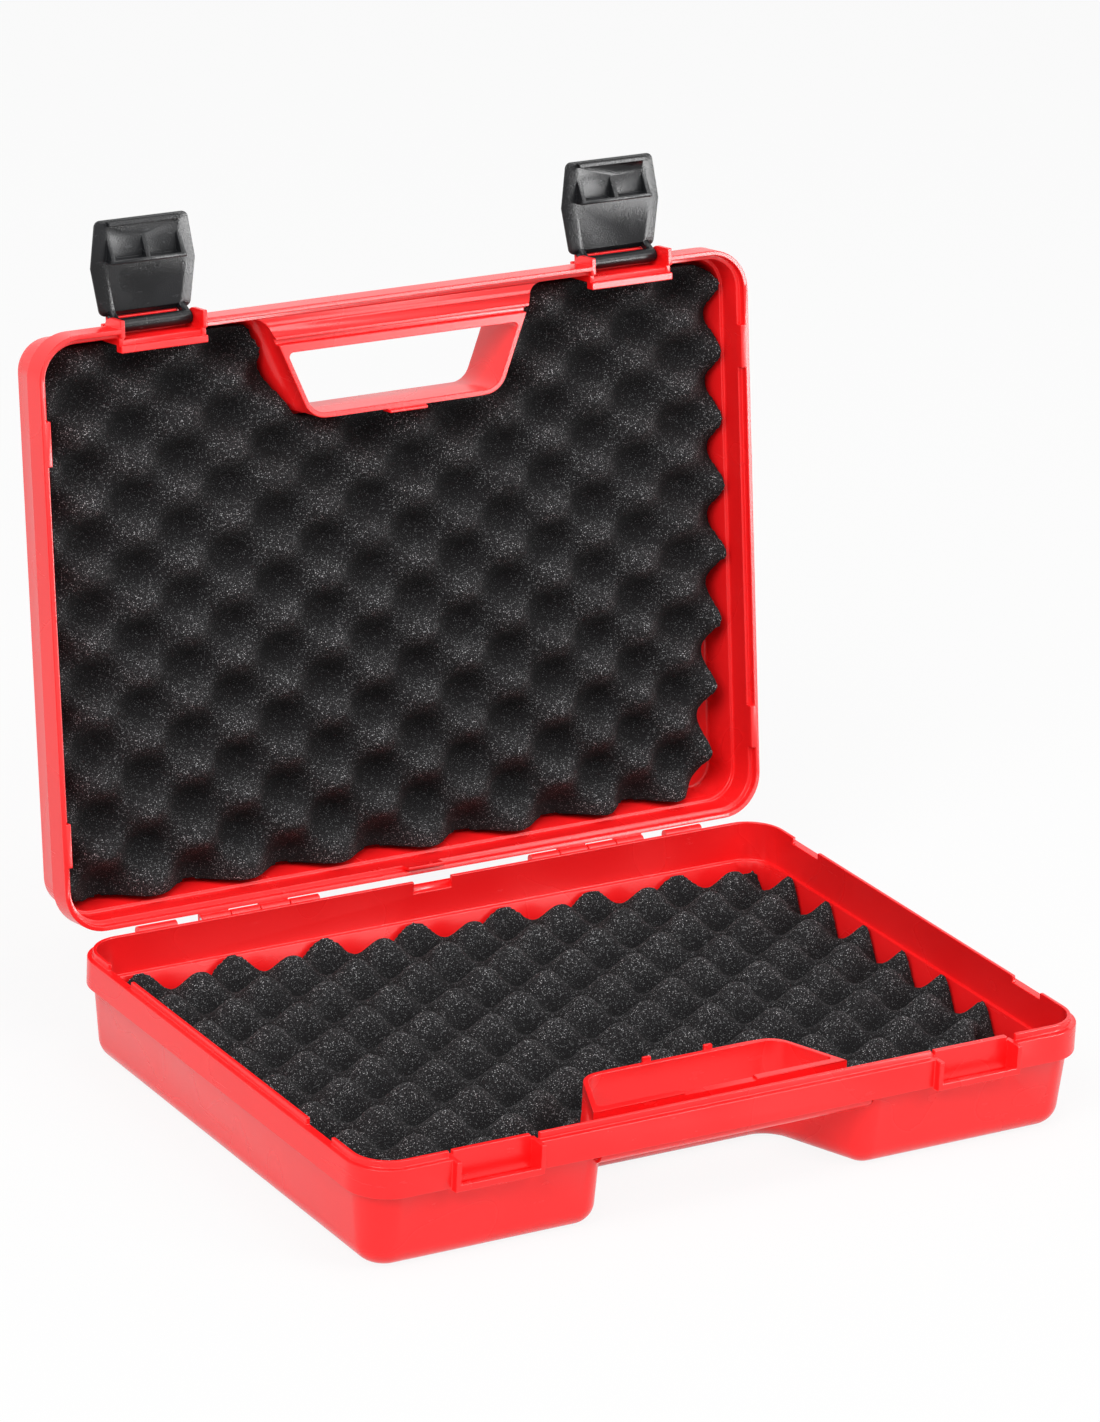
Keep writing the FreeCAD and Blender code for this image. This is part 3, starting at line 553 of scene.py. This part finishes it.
def prismPiece(name, corners, roundness, near, far, spread=(1.0, 1.0)):
    # a plan outline with rounded corners between two depths, its far side drawn in
    shape = bmesh.new()
    verts = [shape.verts.new((x, y, near)) for x, y in corners]
    shape.faces.new(verts)
    if roundness:
        bmesh.ops.bevel(shape, geom=verts, offset=roundness, segments=padPlan["roundSegments"],
                        profile=0.5, affect="VERTICES", material=-1)
    made = bmesh.ops.extrude_face_region(shape, geom=shape.faces[:])["geom"]
    deep = [item for item in made if isinstance(item, bmesh.types.BMVert)]
    bmesh.ops.translate(shape, vec=(0, 0, far - near), verts=deep)
    bmesh.ops.scale(shape, vec=(spread[0], spread[1], 1), verts=deep)
    return meshPiece(name, shape)


def foamDepth(pad, x, y):
    # distance of the wave's surface below the rim
    if pad["cutBack"]:
        (wideX, wideY), (narrowX, narrowY) = pad["cutBack"]
        lean = min(1.0, max(0.0, (y - wideY) / (narrowY - wideY)))
        start = pad["leanFrom"]
        room = wideX + (narrowX - wideX) * lean - start
        x = min(x, start) + max(0.0, x - start) * (wideX - start) / room
    if pad["hold"]:
        start, share = pad["hold"]
        y = min(y, start) + max(0.0, y - start) * share
    across = x * math.cos(pad["skew"]) + y * math.sin(pad["skew"])
    along = y * math.cos(pad["skew"]) - x * math.sin(pad["skew"])
    waveX = math.cos(2 * math.pi * (across - pad["shift"][0]) / pad["pitch"][0])
    waveY = math.cos(2 * math.pi * (along - pad["shift"][1]) / pad["pitch"][1])
    return pad["peak"] + pad["swing"] * (1 - waveX * waveY)


def waveBlock(name, pad):
    # closed block whose near side follows the wave of the foam
    halfX, halfY, step = padPlan["caseHalfWidth"], padPlan["caseHalfDepth"], padPlan["gridStep"]
    shape = bmesh.new()
    bmesh.ops.create_grid(shape, x_segments=round(2 * halfX / step), y_segments=round(2 * halfY / step),
                          size=1.0)
    bmesh.ops.scale(shape, vec=(halfX, halfY, 1), verts=shape.verts)
    made = bmesh.ops.extrude_face_region(shape, geom=shape.faces[:])["geom"]
    deep = {item for item in made if isinstance(item, bmesh.types.BMVert)}
    for vert in shape.verts:
        if vert in deep:
            vert.co.z = pad["floor"]
        else:
            vert.co.z = foamDepth(pad, vert.co.x, vert.co.y)
    return meshPiece(name, shape)


def cutWith(piece, tool, operation):
    cutter = piece.modifiers.new(tool.name, "BOOLEAN")
    cutter.object = tool
    cutter.operation = operation
    cutter.solver = "MANIFOLD"


def rectangle(left, right, front, rear):
    return [(left, front), (right, front), (right, rear), (left, rear)]


def foamPad(name, node, body, pad):
    plan = padPlan
    piece = waveBlock(name, pad)
    halfX, halfY = plan["caseHalfWidth"] - plan["wallInset"], plan["caseHalfDepth"] - plan["wallInset"]
    footX, footY = plan["caseHalfWidth"] - plan["footInset"], plan["caseHalfDepth"] - plan["footInset"]
    reach = pad["floor"] + plan["gridStep"]
    front = -plan["caseHalfDepth"]
    walls = rectangle(-halfX, halfX, -halfY, halfY)
    if pad["cutBack"]:
        walls[2:3] = pad["cutBack"]
    tools = [prismPiece("padWalls", walls, plan["cornerRound"], 0, reach, (footX / halfX, footY / halfY))]
    cutWith(piece, tools[0], "INTERSECT")
    loopFront, loopRear = front + plan["loopFront"], front + plan["loopRear"]
    tools.append(prismPiece("padLoop", [
        (-plan["loopFrontHalf"], loopFront), (plan["loopFrontHalf"], loopFront),
        (plan["loopRearHalf"], loopRear), (-plan["loopRearHalf"], loopRear),
    ], plan["loopRound"], -reach, 2 * reach))
    for sign in (-1, 1):
        middle = sign * plan["pocketMiddle"]
        tools.append(prismPiece("padPocket", rectangle(
            middle - plan["pocketHalf"], middle + plan["pocketHalf"], 2 * front, front + pad["pocketRear"]),
            0, -reach, pad["pocketDepth"]))
    if pad["cornerCut"]:
        cornerX, cornerY = pad["cornerCut"]
        tools.append(prismPiece(
            "padCorner", rectangle(cornerX, 2 * halfX, 2 * front, cornerY), 0, -reach, 2 * reach))
    for tool in tools[1:]:
        cutWith(piece, tool, "DIFFERENCE")
    remesh = piece.modifiers.new("evenMesh", "REMESH")
    remesh.mode = "VOXEL"
    remesh.voxel_size = plan["voxel"]
    trimmed = bpy.data.meshes.new_from_object(piece.evaluated_get(bpy.context.evaluated_depsgraph_get()))
    piece.modifiers.clear()
    for tool in tools:
        bpy.data.objects.remove(tool)
    place = pad["turn"] @ Matrix.Translation((0, 0, pad["rim"])) @ Matrix.Diagonal((1, 1, pad["down"], 1))
    shape = bmesh.new()
    shape.from_mesh(trimmed)
    bmesh.ops.smooth_vert(shape, verts=shape.verts, factor=plan["smoothing"], use_axis_x=True,
                          use_axis_y=True, use_axis_z=True)
    shape.normal_update()
    # each point's depth in the wave, from peak to hollow, by which the foam material paints shade into its
    # colour
    depths = shape.verts.layers.float.new("waveDepth")
    for vert in shape.verts:
        vert[depths] = min(1.0, max(0.0, (vert.co.z - pad["peak"]) / (2 * pad["swing"])))
        swell = noise.noise(vert.co * plan["unevenScale"]) * plan["unevenness"]
        vert.co += vert.normal * (swell - plan["unevenness"] * plan["sunkShare"])
    bmesh.ops.transform(shape, matrix=place, verts=shape.verts)
    bmesh.ops.recalc_face_normals(shape, faces=shape.faces)
    for face in shape.faces:
        face.smooth = True
    mesh = bpy.data.meshes.new(name)
    shape.to_mesh(mesh)
    shape.free()
    mesh.materials.append(foamCells)
    piece.data = mesh
    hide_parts(node)
    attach(piece, body)
    print("foam pad", name, len(mesh.polygons), "faces")


foamPad("baseFoam", "base_foam", "base", basePad)
foamPad("lidFoam", "lid_foam", "lid", lidPad)
print("foam pads made")

# Rests behind the open latches, laid out closed: from the front face of the case and from the lid's rim

restLook = {
    "halfLength": 18.0 * mm,
    "profile": [(-3.5, 19.9), (-3.5, 20.9), (4.4, 20.9), (4.4, 19.0), (-2.2, 19.0), (-2.2, 19.9)],   # mm
    "edge": 0.3 * mm,
    "edgeSegments": 2,
}


def latchRest(name, middle):
    shape = bmesh.new()
    front, rim = -padPlan["caseHalfDepth"], lidPad["rim"]
    verts = [shape.verts.new((middle - restLook["halfLength"], front + y * mm, rim + depth * mm))
             for y, depth in restLook["profile"]]
    shape.faces.new(verts)
    made = bmesh.ops.extrude_face_region(shape, geom=shape.faces[:])["geom"]
    moved = [item for item in made if isinstance(item, bmesh.types.BMVert)]
    bmesh.ops.translate(shape, vec=(2 * restLook["halfLength"], 0, 0), verts=moved)
    bmesh.ops.bevel(shape, geom=shape.edges[:], offset=restLook["edge"],
                    segments=restLook["edgeSegments"], profile=0.5, affect="EDGES", material=-1)
    bmesh.ops.transform(shape, matrix=openTurn, verts=shape.verts)
    for face in shape.faces:
        face.smooth = True
    piece = meshPiece(name, shape)
    piece.data.set_sharp_from_angle(angle=edgeLook["sharpAngle"])
    piece.data.materials.append(shellPlastic)
    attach(piece, "lid")


for side, sign in (("left", -1), ("right", 1)):
    latchRest(side + "LatchRest", sign * padPlan["pocketMiddle"])
print("latch rests made")

# Floor, world and lamps

stageLook = {
    "floorRadius": 9.0,
    "floorSegments": 96,
    "floorRoughness": 0.9,
    "floorColour": (0.70, 0.70, 0.70, 1),
    "whiteShare": 0.90,     # of the floor's own white that the camera sees
    "worldLight": 0.45,
    "aim": Vector((0.0, 0.05, 0.13)),
}

lampLook = {
    "keyLamp": {"place": (-1.9, -1.3, 2.1), "size": 1.8, "power": 58.0, "sheenOnly": False},
    "fillLamp": {"place": (1.27, -1.63, 1.67), "size": 1.2, "power": 23.0, "sheenOnly": False},
    "topLamp": {"place": (0.3, -0.4, 2.6), "size": 1.5, "power": 20.0, "sheenOnly": False},
    "edgeLamp": {"place": (1.10, -1.06, 0.27), "size": 0.62, "power": 23.0, "sheenOnly": True},
}


def cameraMask(tree):
    # 1 for rays from the camera and for mirrored and refracted ones
    path = addNode(tree, "LightPath").outputs
    seen = mathNode(tree, "ADD", path["Is Camera Ray"], path["Is Glossy Ray"])
    return mathNode(tree, "ADD", seen, path["Is Transmission Ray"], clamp=True)


def addFloor(look):
    shape = bmesh.new()
    bmesh.ops.create_circle(shape, cap_ends=True, radius=look["floorRadius"],
                            segments=look["floorSegments"])
    floor = meshPiece("floor", shape)
    material, tree, _, _ = newMaterial("paleFloor", **{
        "Base Color": look["floorColour"], "Roughness": look["floorRoughness"], "Specular IOR Level": 0.0})
    glow = addNode(tree, "Emission")
    blend = addNode(tree, "MixShader")
    feed(tree, blend.inputs[0], mathNode(tree, "MULTIPLY", cameraMask(tree), look["whiteShare"]))
    feed(tree, blend.inputs[1], tree.nodes["Principled BSDF"].outputs[0])
    feed(tree, blend.inputs[2], glow.outputs[0])
    feed(tree, tree.nodes["Material Output"].inputs["Surface"], blend.outputs[0])
    floor.data.materials.append(material)


def addWorld(look):
    world = bpy.data.worlds.new("studio")
    scene.world = world
    world.use_nodes = True
    tree = world.node_tree
    background = tree.nodes["Background"]
    background.inputs["Color"].default_value = (1, 1, 1, 1)
    feed(tree, background.inputs["Strength"],
         rangeNode(tree, cameraMask(tree), 0.0, 1.0, look["worldLight"], 1.0))


def addLamp(name, lamp, aim):
    data = bpy.data.lights.new(name, "AREA")
    data.shape = "DISK"
    data.size = lamp["size"]
    data.energy = lamp["power"]
    light = bpy.data.objects.new(name, data)
    light.location = lamp["place"]
    light.visible_camera = False
    light.visible_diffuse = not lamp["sheenOnly"]
    light.rotation_euler = (aim - Vector(lamp["place"])).to_track_quat("-Z", "Y").to_euler()
    scene.collection.objects.link(light)


addFloor(stageLook)
addWorld(stageLook)
for lampName, lamp in lampLook.items():
    addLamp(lampName, lamp, stageLook["aim"])
print("stage and lamps set")
